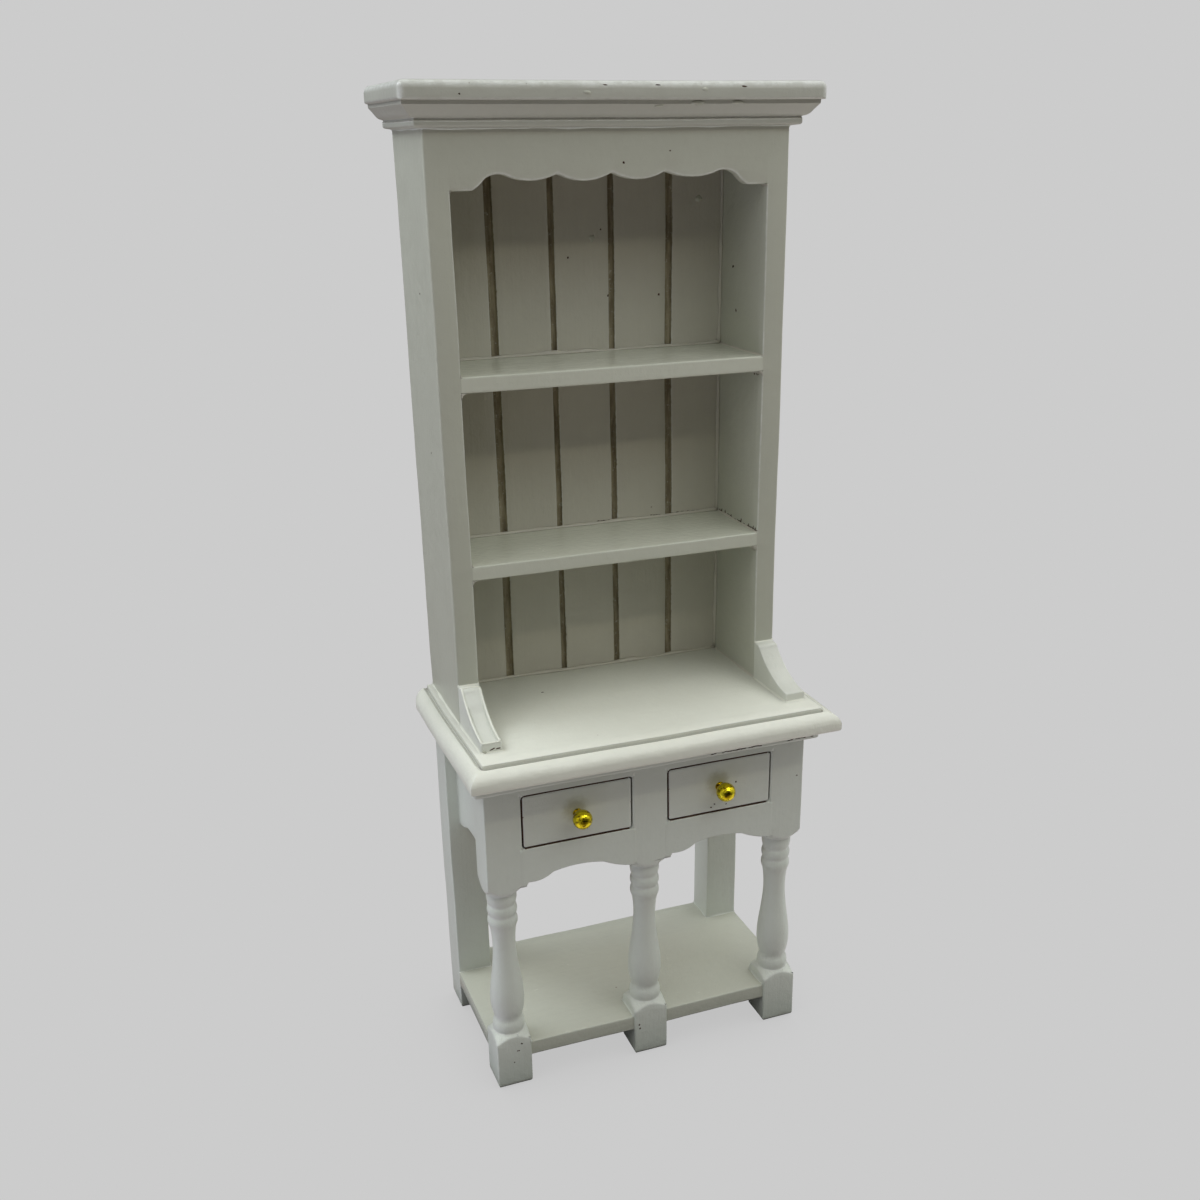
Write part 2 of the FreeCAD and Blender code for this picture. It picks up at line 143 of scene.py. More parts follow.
LUMPS = (
    ("cornice_front_moulding", FRONT, 4, (0.5, 0.85), (0.6, 0.9), (1.9, 0.55), 10),
    ("cornice_top_board", FRONT, 2, (0.2, 0.8), (0.4, 0.7), (1.4, 0.6), 15),
    ("hutch_back_panel", FRONT, 2, (0.4, 0.95), (0.65, 0.85), (0.9, 0.9), 30),
    ("left_counter_bracket", FRONT, 1, (0.1, 0.5), (0.02, 0.06), (1.2, 0.6), 70),
)
JOINT_CHIPS = 7
JOINT_CHIP = (1.2, 0.4)
JOINT_LEAN = 25
JOINT_OFF = 0.4 * MM
NOSE_CRACKS = ((0.65, 0.82), (0.9, 0.98))
NOSE_CRACK_UP = 0.2

# ---- light: ceiling panels and front strips as place, size (metres) and radiance; sky glows by direction ----
PALE = (0.604, 0.604, 0.604, 1.0)
CEILING_TINT = (0.94, 1.0, 1.07)
STRIP_TINT = (1.10, 1.0, 0.75)
UPPER_TINT = (1.01, 1.0, 0.98)
LOWER_TINT = (0.94, 1.0, 1.05)
LEFT_TINT = (0.94, 1.0, 1.26)
FLOOR_TINT = (1.40, 1.0, 0.70)
LAMPS = (
    ("ceiling_left_mid", (-0.17, -0.04, 0.285), (0.16, 0.10), 0.5, CEILING_TINT),
    ("ceiling_left_rear", (-0.17, 0.07, 0.285), (0.16, 0.12), 3.8, CEILING_TINT),
    ("ceiling_middle_front", (-0.02, -0.14, 0.285), (0.14, 0.10), 0.8, CEILING_TINT),
    ("ceiling_right_front", (0.13, -0.14, 0.285), (0.16, 0.10), 1.6, CEILING_TINT),
    ("ceiling_right_rear", (0.13, 0.07, 0.285), (0.16, 0.12), 0.75, CEILING_TINT),
    ("strip_middle", (-0.02, -0.185, 0.283), (0.15, 0.014), 4.0, STRIP_TINT),
    ("strip_right", (0.13, -0.185, 0.283), (0.15, 0.014), 6.2, STRIP_TINT),
)
GLOWS = (
    ((0, 0, 1), 1.5, 0.30, UPPER_TINT),
    ((0, 0, -1), 1.5, 0.27, FLOOR_TINT),
    ((-1, 0, 1), 4.0, 0.86, UPPER_TINT),
    ((1, 0, 1), 4.0, 1.05, UPPER_TINT),
    ((-1, 0, -1), 4.0, 0.70, LEFT_TINT),
    ((1, 0, -1), 4.0, 0.72, LOWER_TINT),
)

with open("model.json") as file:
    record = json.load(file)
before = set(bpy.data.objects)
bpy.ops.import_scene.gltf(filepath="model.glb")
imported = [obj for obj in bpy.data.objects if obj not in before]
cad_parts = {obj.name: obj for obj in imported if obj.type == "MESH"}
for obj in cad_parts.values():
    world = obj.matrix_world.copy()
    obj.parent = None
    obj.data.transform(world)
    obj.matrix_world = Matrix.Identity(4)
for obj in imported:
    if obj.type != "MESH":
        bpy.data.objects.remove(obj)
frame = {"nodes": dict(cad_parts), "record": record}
cad_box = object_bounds()
noise.seed_set(WOBBLE_SEED)
nodes = frame["nodes"]
record = frame["record"]
body_of_node = {n: body for body, names in record["behaviour"]["bodies"].items() for n in names}
collection = bpy.context.scene.collection


# ---- node trees ----
def new_material(name):
    material = bpy.data.materials.new(name)
    material.use_nodes = True
    material.node_tree.nodes.clear()
    return material


def put(tree, kind, inputs=None, **settings):
    """Adds a node; an input is either a value or another node's output."""
    node = tree.nodes.new(kind)
    for key, value in settings.items():
        setattr(node, key, value)
    for key, value in (inputs or {}).items():
        if isinstance(value, bpy.types.NodeSocket):
            tree.links.new(value, node.inputs[key])
        else:
            node.inputs[key].default_value = value
    return node


def calc(tree, operation, *values, clamp=False):
    inputs = {index: value for index, value in enumerate(values)}
    return put(tree, "ShaderNodeMath", inputs, operation=operation, use_clamp=clamp).outputs[0]


def remap(tree, value, low, high, to_low=0.0, to_high=1.0):
    inputs = {"Value": value, "From Min": low, "From Max": high, "To Min": to_low, "To Max": to_high}
    return put(tree, "ShaderNodeMapRange", inputs, interpolation_type="SMOOTHSTEP").outputs["Result"]


def noise_at(tree, place, scale, detail=2.0, roughness=0.5, distortion=0.0):
    inputs = {"Vector": place, "Scale": scale, "Detail": detail, "Roughness": roughness}
    inputs["Distortion"] = distortion
    return put(tree, "ShaderNodeTexNoise", inputs).outputs["Fac"]


def blend_colour(tree, amount, a, b):
    node = put(tree, "ShaderNodeMix", data_type="RGBA")
    for socket, value in ((node.inputs[0], amount), (node.inputs[6], a), (node.inputs[7], b)):
        if isinstance(value, bpy.types.NodeSocket):
            tree.links.new(value, socket)
        else:
            socket.default_value = value
    return node.outputs[2]


def millimetres(tree, offset):
    """Object coordinates in millimetres, moved so that each piece has its own patch of the patterns."""
    place = put(tree, "ShaderNodeTexCoord").outputs["Object"]
    scale = (1 / MM, 1 / MM, 1 / MM)
    inputs = {0: place, 1: scale, 2: offset}
    return put(tree, "ShaderNodeVectorMath", inputs, operation="MULTIPLY_ADD").outputs[0]


def along_grain(tree, place, grain, squeeze):
    """Coordinates that change slowly along the grain, for strokes and fibres."""
    scale = [1.0, 1.0, 1.0]
    scale["xyz".index(grain)] = squeeze
    return put(tree, "ShaderNodeVectorMath", {0: place, 1: scale}, operation="MULTIPLY").outputs[0]


def bump(tree, height, depth, below=None):
    inputs = {"Height": height, "Distance": depth, "Strength": 1.0}
    if below is not None:
        inputs["Normal"] = below
    return put(tree, "ShaderNodeBump", inputs).outputs["Normal"]


# ---- materials ----
PAINT_LIGHT = (0.815, 0.832, 0.765, 1.0)
PAINT_DARK = (0.748, 0.763, 0.690, 1.0)
PAINT_WORN_AND_HIGHLIGHT = (0.860, 0.885, 0.845, 1.0)
CREVICE_SHADE = (0.150, 0.120, 0.090, 1.0)
GRIME_AND_SHADOW = (0.330, 0.320, 0.215, 1.0)
BOARD_BROWN = (0.230, 0.150, 0.090, 1.0)
GROOVE_WOOD = (0.440, 0.395, 0.270, 1.0)
GROOVE_DARK = (0.250, 0.215, 0.140, 1.0)
SHADE = (0.300, 0.300, 0.265, 1.0)
SHADE_DARK = (0.10, 0.10, 0.09, 1.0)
SHADE_LIGHT = (0.16, 0.16, 0.15, 1.0)
SHADE_DEPTH = 0.1 * MM
FLAKED_DARK = (0.030, 0.017, 0.012, 1.0)
FLAKED_LIGHT = (0.125, 0.072, 0.048, 1.0)
RAW_DARK = (0.080, 0.045, 0.033, 1.0)
RAW_LIGHT = (0.210, 0.125, 0.090, 1.0)


# Paint tones of the groups of boards, partly their own paint and partly painted light and shade: darker for the back
# panel, shelves and cornice, which stand in shade, lighter for the counter top, which faces the lamps.
BACK_SHADE_TONE = (0.77, 0.735, 0.69)
COUNTER_LIGHT_TONE = (1.11, 1.11, 1.08)
BRACKET_TONE = (0.95, 0.96, 0.95)
FLOOR_SHELF_SHADE_TONE = (0.80, 0.815, 0.77)
SHELF_TONE = (0.86, 0.87, 0.81)
FRONT_TONE = (0.98, 1.02, 1.02)
CORNICE_SHADE_TONE = (0.67, 0.67, 0.64)
USUAL_TONE = (0.72, 0.725, 0.67)
PAINT_AND_SHADE_TONES = {"hutch_back_panel": BACK_SHADE_TONE, "counter_top": COUNTER_LIGHT_TONE, "bottom_shelf": FLOOR_SHELF_SHADE_TONE}
PAINT_AND_SHADE_TONE_WORDS = (("leg", FRONT_TONE), ("apron", FRONT_TONE), ("rail", FRONT_TONE), ("drawer", FRONT_TONE))
PAINT_AND_SHADE_TONE_WORDS += (("subtop", FRONT_TONE), ("bracket", BRACKET_TONE), ("cornice", CORNICE_SHADE_TONE))
PAINT_AND_SHADE_TONE_WORDS += (("shelf", SHELF_TONE),)


def paint_and_shade_tone_of(node):
    """Paint tone of a board's group, partly its own paint and partly painted light and shade."""
    usual = [tone for word, tone in PAINT_AND_SHADE_TONE_WORDS if word in node] + [USUAL_TONE]
    return PAINT_AND_SHADE_TONES.get(node, usual[0])


def toned(colour, tone):
    return tuple(min(1.0, channel * part) for channel, part in zip(colour[:3], tone)) + (1.0,)


def paint(name, grain, offset, tone, wear=1.0, grooved=False, grime_and_shadow_at=None, shaded=False, sheen=0.22):
    """Satin white paint put on by brush over fibreboard: strokes, lumps, pinholes and chipped arrises.

    A grooved piece shows bare wood with ragged borders wherever its attribute "sunk" says so.  A shaded one
    has painted shade, greyer where other boards stand over it.
    """
    material = new_material(name)
    tree = material.node_tree
    place = millimetres(tree, offset)
    stroke_place = along_grain(tree, place, grain, 0.06)

    broad = noise_at(tree, place, 0.045, 3.0)
    mottle = noise_at(tree, place, 0.35, 4.0, 0.6)
    stroke = noise_at(tree, stroke_place, 1.3, 3.0, 0.6, 0.3)
    lump = noise_at(tree, place, 0.75, 2.0)
    grit = noise_at(tree, place, 3.2, 2.0, 0.6)

    level = calc(tree, "MULTIPLY_ADD", broad, 0.9, calc(tree, "MULTIPLY", mottle, 0.6))
    level = calc(tree, "MULTIPLY_ADD", stroke, 0.35, calc(tree, "SUBTRACT", level, 0.42))
    level = calc(tree, "MULTIPLY", level, 1.0, clamp=True)
    colour = blend_colour(tree, level, toned(PAINT_DARK, tone), toned(PAINT_LIGHT, tone))

    # Lighter rubbed paint on the arrises, left untoned: partly real wear and partly a painted highlight along the
    # rounded edges.
    edge = put(tree, "ShaderNodeAttribute", attribute_name="edge").outputs["Fac"]
    rub = noise_at(tree, place, 0.5, 3.0, 0.65)
    rubbed_and_highlit = calc(tree, "MULTIPLY", edge, remap(tree, rub, 0.36, 0.64, 0.35, 0.68))
    colour = blend_colour(tree, rubbed_and_highlit, colour, PAINT_WORN_AND_HIGHLIGHT)
    flake = noise_at(tree, place, 1.1, 3.0, 0.7)
    chip_level = calc(tree, "MULTIPLY", edge, flake)
    chipped = remap(tree, chip_level, 0.70 - 0.03 * wear, 0.74 - 0.03 * wear)
    colour = blend_colour(tree, chipped, colour, BOARD_BROWN)

    pores = put(tree, "ShaderNodeTexVoronoi", {"Vector": place, "Scale": 0.16}, feature="F1")
    pore_pick = put(tree, "ShaderNodeSeparateColor", {0: pores.outputs["Color"]}).outputs[0]
    pore = remap(tree, pores.outputs["Distance"], 0.018, 0.032, 1.0, 0.0)
    pore = calc(tree, "MULTIPLY", pore, calc(tree, "GREATER_THAN", pore_pick, 0.90))
    colour = blend_colour(tree, calc(tree, "MULTIPLY", pore, 0.75), colour, BOARD_BROWN)

    # Painted shade: brownish darkening in crevices and tight corners, where little light reaches.
    open_air = put(tree, "ShaderNodeAmbientOcclusion", {"Distance": 0.9 * MM}, samples=6).outputs["AO"]
    crevice_shade = remap(tree, open_air, 0.16, 0.46, 0.55, 0.0)
    colour = blend_colour(tree, crevice_shade, colour, CREVICE_SHADE)
    # Painted shade: greyer where other boards stand over the surface and hide much of the sky.
    if shaded:
        open_sky = put(tree, "ShaderNodeAmbientOcclusion", {"Distance": 24 * MM}, samples=8).outputs["AO"]
        colour = blend_colour(tree, remap(tree, open_sky, 0.35, 0.95, 0.45, 0.0), colour, SHADE)
    # Grime round the knob and a painted shadow of it: a soft darker spot just above and left of the stem.
    if grime_and_shadow_at is not None:
        spot = {0: put(tree, "ShaderNodeTexCoord").outputs["Object"], 1: grime_and_shadow_at}
        away = put(tree, "ShaderNodeVectorMath", spot, operation="DISTANCE").outputs["Value"]
        away = calc(tree, "MULTIPLY_ADD", noise_at(tree, place, 1.0, 3.0, 0.6), -1.6 * MM, away)
        grime_and_shadow = remap(tree, away, 0.2 * MM, 2.4 * MM, 0.55, 0.0)
        colour = blend_colour(tree, grime_and_shadow, colour, GRIME_AND_SHADOW)

    bare = chipped
    if grooved:
        sunk = put(tree, "ShaderNodeAttribute", attribute_name="sunk").outputs["Fac"]
        ragged = calc(tree, "MULTIPLY_ADD", noise_at(tree, place, 1.2, 3.0, 0.7), 0.5, -0.25)
        bare = remap(tree, calc(tree, "ADD", sunk, ragged), 0.10, 0.22)
        fibre = noise_at(tree, along_grain(tree, place, "z", 0.12), 1.2, 4.0, 0.7)
        wood = blend_colour(tree, remap(tree, fibre, 0.35, 0.65), GROOVE_DARK, GROOVE_WOOD)
        splash = remap(tree, noise_at(tree, place, 1.6, 3.0, 0.8), 0.60, 0.68, 0.0, 0.6)
        wood = blend_colour(tree, splash, wood, PAINT_DARK)
        colour = blend_colour(tree, bare, colour, wood)

    gloss = calc(tree, "MULTIPLY_ADD", mottle, 0.16, calc(tree, "MULTIPLY", stroke, 0.10))
    roughness = calc(tree, "ADD", calc(tree, "MULTIPLY_ADD", bare, 0.3, gloss), sheen)

    normal = bump(tree, lump, 0.10 * MM)
    normal = bump(tree, stroke, 0.055 * MM, normal)
    normal = bump(tree, grit, 0.035 * MM, normal)
    hollow = calc(tree, "MULTIPLY", calc(tree, "ADD", bare, pore, clamp=True), -1.0)
    normal = bump(tree, hollow, 0.05 * MM, normal)

    inputs = {"Base Color": colour, "Roughness": roughness, "Normal": normal}
    shader = put(tree, "ShaderNodeBsdfPrincipled", inputs)
    shader.inputs["Specular IOR Level"].default_value = 0.5
    put(tree, "ShaderNodeOutputMaterial", {"Surface": shader.outputs[0]})
    return material


def bare_wood(name, grain, offset):
    """Pale unpainted basswood with fine dark fibres and a rough sawn surface."""
    material = new_material(name)
    tree = material.node_tree
    place = millimetres(tree, offset)
    fibre = noise_at(tree, along_grain(tree, place, grain, 0.05), 1.6, 5.0, 0.7, 0.4)
    band = noise_at(tree, along_grain(tree, place, grain, 0.03), 0.35, 2.0)
    fleck = noise_at(tree, along_grain(tree, place, grain, 0.25), 4.0, 2.0)
    tone = calc(tree, "MULTIPLY_ADD", fibre, 0.7, calc(tree, "MULTIPLY", band, 0.4))
    colour = blend_colour(tree, remap(tree, tone, 0.35, 0.75), (0.36, 0.23, 0.125, 1), (0.62, 0.45, 0.28, 1))
    dark = remap(tree, fleck, 0.62, 0.75, 0.0, 0.5)
    colour = blend_colour(tree, dark, colour, (0.24, 0.145, 0.075, 1))
    normal = bump(tree, fibre, 0.06 * MM)
    normal = bump(tree, fleck, 0.02 * MM, normal)
    roughness = calc(tree, "MULTIPLY_ADD", fibre, 0.2, 0.55)
    inputs = {"Base Color": colour, "Roughness": roughness, "Normal": normal}
    shader = put(tree, "ShaderNodeBsdfPrincipled", inputs)
    shader.inputs["Specular IOR Level"].default_value = 0.3
    put(tree, "ShaderNodeOutputMaterial", {"Surface": shader.outputs[0]})
    return material


def fibreboard(name, offset, dark, light):
    """Brown raw fibre that shows where paint never reached or has flaked off."""
    material = new_material(name)
    tree = material.node_tree
    place = millimetres(tree, offset)
    fleck = noise_at(tree, place, 3.0, 4.0, 0.75)
    patch = noise_at(tree, place, 0.6, 2.0)
    tone = calc(tree, "MULTIPLY_ADD", fleck, 0.6, calc(tree, "MULTIPLY", patch, 0.4))
    colour = blend_colour(tree, remap(tree, tone, 0.38, 0.66), dark, light)
    normal = bump(tree, fleck, 0.05 * MM)
    roughness = calc(tree, "MULTIPLY_ADD", fleck, 0.2, 0.7)
    inputs = {"Base Color": colour, "Roughness": roughness, "Normal": normal}
    shader = put(tree, "ShaderNodeBsdfPrincipled", inputs)
    shader.inputs["Specular IOR Level"].default_value = 0.2
    put(tree, "ShaderNodeOutputMaterial", {"Surface": shader.outputs[0]})
    return material


def gilt(name, offset):
    """Bright yellow plating with fine handling marks."""
    material = new_material(name)
    tree = material.node_tree
    place = millimetres(tree, offset)
    smear = noise_at(tree, place, 0.9, 3.0, 0.6)
    dent = noise_at(tree, place, 1.3, 2.0, 0.6)
    scratch = noise_at(tree, along_grain(tree, place, "x", 0.1), 9.0, 3.0, 0.7)
    colour = blend_colour(tree, remap(tree, smear, 0.3, 0.7), (0.72, 0.56, 0.012, 1), (0.90, 0.76, 0.03, 1))
    tarnish = remap(tree, dent, 0.54, 0.62, 0.0, 0.85)
    colour = blend_colour(tree, tarnish, colour, (0.16, 0.10, 0.01, 1))
    roughness = calc(tree, "MULTIPLY_ADD", smear, 0.03, calc(tree, "MULTIPLY_ADD", scratch, 0.02, 0.02))
    normal = bump(tree, dent, 0.14 * MM)
    normal = bump(tree, scratch, 0.006 * MM, normal)
    inputs = {"Base Color": colour, "Roughness": roughness, "Normal": normal}
    shader = put(tree, "ShaderNodeBsdfPrincipled", inputs)
    shader.inputs["Metallic"].default_value = 1.0
    put(tree, "ShaderNodeOutputMaterial", {"Surface": shader.outputs[0]})
    return material


# ---- painted pieces ----
def box_of(node):
    low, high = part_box(node)
    return Vector(low), Vector(high)


def mesh_tree(mesh):
    """Search tree of a mesh's surface."""
    corners = [v.co for v in mesh.vertices]
    return BVHTree.FromPolygons(corners, [tuple(p.vertices) for p in mesh.polygons])


def is_near(a, b, gap):
    (low_a, high_a), (low_b, high_b) = a, b
    return all(low_a[i] - gap < high_b[i] and low_b[i] - gap < high_a[i] for i in range(3))


def clean_surface(node):
    bm = bmesh.new()
    bm.from_mesh(nodes[node].data)
    bmesh.ops.remove_doubles(bm, verts=bm.verts, dist=WELD)
    bmesh.ops.dissolve_limit(
        bm, angle_limit=math.radians(0.5), verts=bm.verts, edges=bm.edges, use_dissolve_boundaries=False
    )
    return bm


def cut_at(bm, axis, value):
    normal = Vector([float(i == axis) for i in range(3)])
    geometry = bm.verts[:] + bm.edges[:] + bm.faces[:]
    bmesh.ops.bisect_plane(bm, geom=geometry, dist=WELD, plane_co=normal * value, plane_no=normal)


def cut_at_neighbours(bm, node, neighbours):
    """Splits the surface where a touching piece begins or ends, so that each edge is either free or hidden."""
    low, high = boxes[node]
    for axis in range(3):
        wanted = []
        for other in neighbours:
            for place in (boxes[other][0][axis], boxes[other][1][axis]):
                inside = low[axis] + EDGE_R * 2 < place < high[axis] - EDGE_R * 2
                if inside and all(abs(place - w) > EDGE_R * 2 for w in wanted):
                    wanted.append(place)
        for place in wanted:
            cut_at(bm, axis, place)


def weigh_edges(bm, node, own_body, neighbours):
    """Bevel weight of each edge: none in a glued joint, little beside a moving piece, full elsewhere."""
    layer = bm.edges.layers.float.new("bevel_weight_edge")
    for edge in bm.edges:
        if len(edge.link_faces) != 2 or edge.calc_face_angle(0.0) < SHARP:
            continue
        middle = (edge.verts[0].co + edge.verts[1].co) / 2
        weight = 1.0
        fine = FINE_EDGE / SOFTER.get(node, 1.0)
        for other in neighbours:
            reach = TOUCH if body_of_node[other] == own_body else NEAR_BODY
            if search[other].find_nearest(middle, reach)[0] is not None:
                weight = 0.0 if body_of_node[other] == own_body else min(weight, fine)
        edge[layer] = weight


def wobble(point):
    """Small smooth drift that stands for hand-cut boards under brushed paint; nothing sinks below the floor."""
    total = Vector((0, 0, 0))
    for index, (length, height) in enumerate(WOBBLE):
        total += noise.noise_vector(point / length + Vector((7.3, 1.9, 4.1)) * index) * height
    total.z *= min(1.0, max(0.0, point.z / (2 * MM)))
    return total


def sink_panel(bm, low, high):
    """Shallow pool with a raised rim on a bracket's slope, left by thick paint."""
    rim = 0.5 * MM
    depth = 0.5 * MM
    for place in (low.x + rim, low.x + 1.4 * rim, high.x - 1.4 * rim, high.x - rim):
        cut_at(bm, 0, place)
    for place in (low.y + rim, low.y + 2 * rim, high.y - 4.4 * MM, high.y - 3.8 * MM):
        cut_at(bm, 1, place)
    bm.normal_update()
    for vertex in bm.verts:
        if vertex.normal.z < 0.3 or vertex.co.z > high.z - 1.0 * MM:
            continue
        inside_x = min(vertex.co.x - low.x, high.x - vertex.co.x) / rim - 1
        inside_y = min(vertex.co.y - low.y, high.y - 3.8 * MM - vertex.co.y) / rim
        vertex.co.z -= depth * max(0.0, min(1.0, inside_x / 0.4, inside_y - 1))


def round_over(bm, low, high, radius):
    """Rolls the edges of a block over to a larger radius."""
    for axis in range(3):
        for share in ROUND_CUTS:
            cut_at(bm, axis, low[axis] + radius * share)
            cut_at(bm, axis, high[axis] - radius * share)
    # The rounded vertices are marked for chips and for the lighter rubbed paint, which is partly a painted highlight
    # along the arris.
    mark = bm.verts.layers.float["edge"]
    for vertex in bm.verts:
        core = Vector([max(low[i] + radius, min(high[i] - radius, vertex.co[i])) for i in range(3)])
        out = vertex.co - core
        if out.length > radius:
            vertex[mark] = min(1.0, max(0.0, (out.length / radius - 1.0) / ROUND_MARK))
            vertex.co = core + out * (radius / out.length)


def flatten_ovolo(bm, node, low, high):
    """Thick paint has flattened the round of the cornice moulding and filled its quirk; mitres stay closed."""
    for vertex in bm.verts:
        height = (vertex.co.z - low.z - OVOLO_FOOT) / OVOLO_HEIGHT
        if 0.0 < height < 1.0:
            dip = OVOLO_DIP * math.sin(math.pi * height)
        elif QUIRK_FOOT < vertex.co.z - low.z < QUIRK_TOP:
            dip = -QUIRK_FILL
        else:
            continue
        if node == "cornice_front_moulding":
            vertex.co.x *= 1 - dip / high.x
            vertex.co.y += dip
        else:
            vertex.co.x += dip if node == "cornice_left_moulding" else -dip
            vertex.co.y += dip * (high.y - vertex.co.y) / (high.y - low.y)


def round_foot(bm, low, high):
    """Rolls a leg's block under, all round its foot."""
    for share in ROUND_CUTS:
        cut_at(bm, 2, low.z + FOOT_ROUND * share)
    for vertex in bm.verts:
        down = max(0.0, FOOT_ROUND - (vertex.co.z - low.z))
        inset = FOOT_ROUND - math.sqrt(FOOT_ROUND ** 2 - min(down, FOOT_ROUND) ** 2)
        vertex.co.x = max(low.x + inset, min(high.x - inset, vertex.co.x))
        vertex.co.y = max(low.y + inset, min(high.y - inset, vertex.co.y))


def bevelled(bm, name, radius):
    """The surface with its weighted edges rounded; vertices in the middle of a rounding are marked."""
    mesh = bpy.data.meshes.new(name)
    bm.to_mesh(mesh)
    bm.free()
    mesh.materials.clear()
    for _ in range(2):
        mesh.materials.append(None)
    piece = bpy.data.objects.new(name, mesh)
    collection.objects.link(piece)
    modifier = piece.modifiers.new("arris", "BEVEL")
    modifier.width = radius
    modifier.segments = 2
    modifier.limit_method = "WEIGHT"
    modifier.use_clamp_overlap = False
    modifier.material = 1
    rounded = bpy.data.meshes.new_from_object(piece.evaluated_get(bpy.context.evaluated_depsgraph_get()))
    piece.modifiers.clear()
    result = bmesh.new()
    result.from_mesh(rounded)
    bpy.data.meshes.remove(rounded)
    mark = result.verts.layers.float.new("edge")
    for vertex in result.verts:
        if vertex.link_faces and all(f.material_index == 1 for f in vertex.link_faces):
            vertex[mark] = 1.0
    for face in result.faces:
        face.material_index = 0
    return piece, result


def finish_surface(piece, bm, cuts=True):
    """Adds cuts for the wobble, moves every vertex by it and smooths all but the sharp edges."""
    if cuts:
        for axis in range(3):
            places = [v.co[axis] for v in bm.verts]
            low, high = min(places), max(places)
            count = int((high - low) / CUT_PITCH)
            for index in range(1, count):
                cut_at(bm, axis, low + (high - low) * index / count)
    for vertex in bm.verts:
        vertex.co += wobble(vertex.co)
    for face in bm.faces:
        face.smooth = True
    for edge in bm.edges:
        edge.smooth = edge.calc_face_angle(0.0) < SHARP
    mesh = piece.data
    bm.to_mesh(mesh)
    bm.free()
    return piece


def is_right_rim(point):
    """True beside the right-hand edge of either drawer front, where the paint has bridged the rim."""
    edges = [boxes[side + "_drawer_front"][1].x for side in ("left", "right")]
    return any(abs(point.x - edge) < 0.7 * MM for edge in edges)


def bare_the_gap(bm, others):
    """Faces that look into the gap round a drawer never took paint."""
    for axis in range(3):
        for other in others:
            for place in (boxes[other][0][axis], boxes[other][1][axis]):
                cut_at(bm, axis, place)
    for face in bm.faces:
        middle = face.calc_center_median()
        for other in others:
            nearest = search[other].find_nearest(middle, GAP_REACH)[0]
            if nearest is None:
                continue
            toward = (nearest - middle).normalized().dot(face.normal)
            if toward > 0.65 and not is_right_rim(middle):
                face.material_index = 1


def bare_underside(bm, node):
    """The bottom shelf and the feet were painted standing up, so their undersides stayed brown."""
    if node == "bottom_shelf" or node.endswith("_leg"):
        for face in bm.faces:
            if face.normal.z < -0.5 and face.calc_center_median().z < 7 * MM:
                face.material_index = 1


def deepen_step(bm):
    """Draws the foot of the counter's step down into a small channel."""
    top = max(vertex.co.z for vertex in bm.verts)
    front = min(vertex.co.y for vertex in bm.verts if vertex.co.z > top - 0.1 * MM)
    side = max(vertex.co.x for vertex in bm.verts if vertex.co.z > top - 0.1 * MM)
    for vertex in bm.verts:
        at_foot = abs(vertex.co.z - (top - COUNTER_STEP)) < 0.05 * MM
        if at_foot and vertex.co.y > front - 0.4 * MM and abs(vertex.co.x) < side + 0.4 * MM:
            vertex.co.z -= CHANNEL


def painted_piece(node, material):
    body = body_of_node[node]
    own = boxes[node]
    neighbours = [n for n in nodes if n != node and is_near(own, boxes[n], NEAR_BODY)]
    bm = clean_surface(node)
    cut_at_neighbours(bm, node, [n for n in neighbours if body_of_node[n] == body])
    weigh_edges(bm, node, body, neighbours)
    piece, bm = bevelled(bm, "painted_" + node, EDGE_R * SOFTER.get(node, 1.0))
    if node == "left_counter_bracket":
        sink_panel(bm, *own)
    if node == "counter_top":
        deepen_step(bm)
    if node == "cornice_top_board":
        for vertex in bm.verts:
            if vertex.co.z > (own[0].z + own[1].z) / 2:
                vertex.co.z += BOARD_LIFT
        round_over(bm, own[0] - UP * BOARD_ROUND, own[1] + UP * BOARD_LIFT, BOARD_ROUND)
        round_over(bm, own[0], own[1] + UP, BOARD_FOOT_ROUND)
    if node.endswith("drawer_front"):
        round_over(bm, own[0] + FRONT * DRAWER_CORNER, own[1] + REAR * DRAWER_CORNER, DRAWER_CORNER)
        round_over(bm, own[0], own[1] + REAR * DRAWER_ROUND, DRAWER_ROUND)
    if node.endswith("_leg"):
        round_foot(bm, *own)
    if node.startswith("cornice") and node.endswith("moulding"):
        flatten_ovolo(bm, node, *own)
    if node in FLUSH:
        for vertex in bm.verts:
            if vertex.co.y < own[0].y + 0.03 * MM:
                vertex.co.y -= FLUSH_LIFT
    if node == "hutch_back_panel":
        sunk = bm.verts.layers.float.new("sunk")
        for vertex in bm.verts:
            vertex[sunk] = min(1.0, max(0.0, (vertex.co.y - own[0].y) / MM))
    bm.normal_update()
    bare_the_gap(bm, [n for n in neighbours if body_of_node[n] != body])
    bare_underside(bm, node)
    finish_surface(piece, bm)
    piece.data.materials[0] = material
    piece.data.materials[1] = raw_edge
    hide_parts(node)
    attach(piece, body)
    return piece


# ---- which board runs which way ----
GRAIN_X = ("cornice_top_board", "cornice_front_moulding", "hutch_valance", "upper_shelf", "lower_shelf")
GRAIN_X += ("counter_top", "counter_subtop", "bottom_shelf", "front_left_apron", "front_right_apron")
GRAIN_X += ("front_left_top_rail", "front_right_top_rail", "back_rail")
GRAIN_X += ("left_drawer_front", "right_drawer_front")
GRAIN_Y = ("cornice_left_moulding", "cornice_right_moulding", "left_side_rail", "right_side_rail")
GRAIN_Y += ("left_counter_bracket", "right_counter_bracket")
GRAIN_Z = ("hutch_left_side", "hutch_right_side", "front_left_leg", "front_middle_leg", "front_right_leg")
GRAIN_Z += ("rear_left_leg", "rear_right_leg")


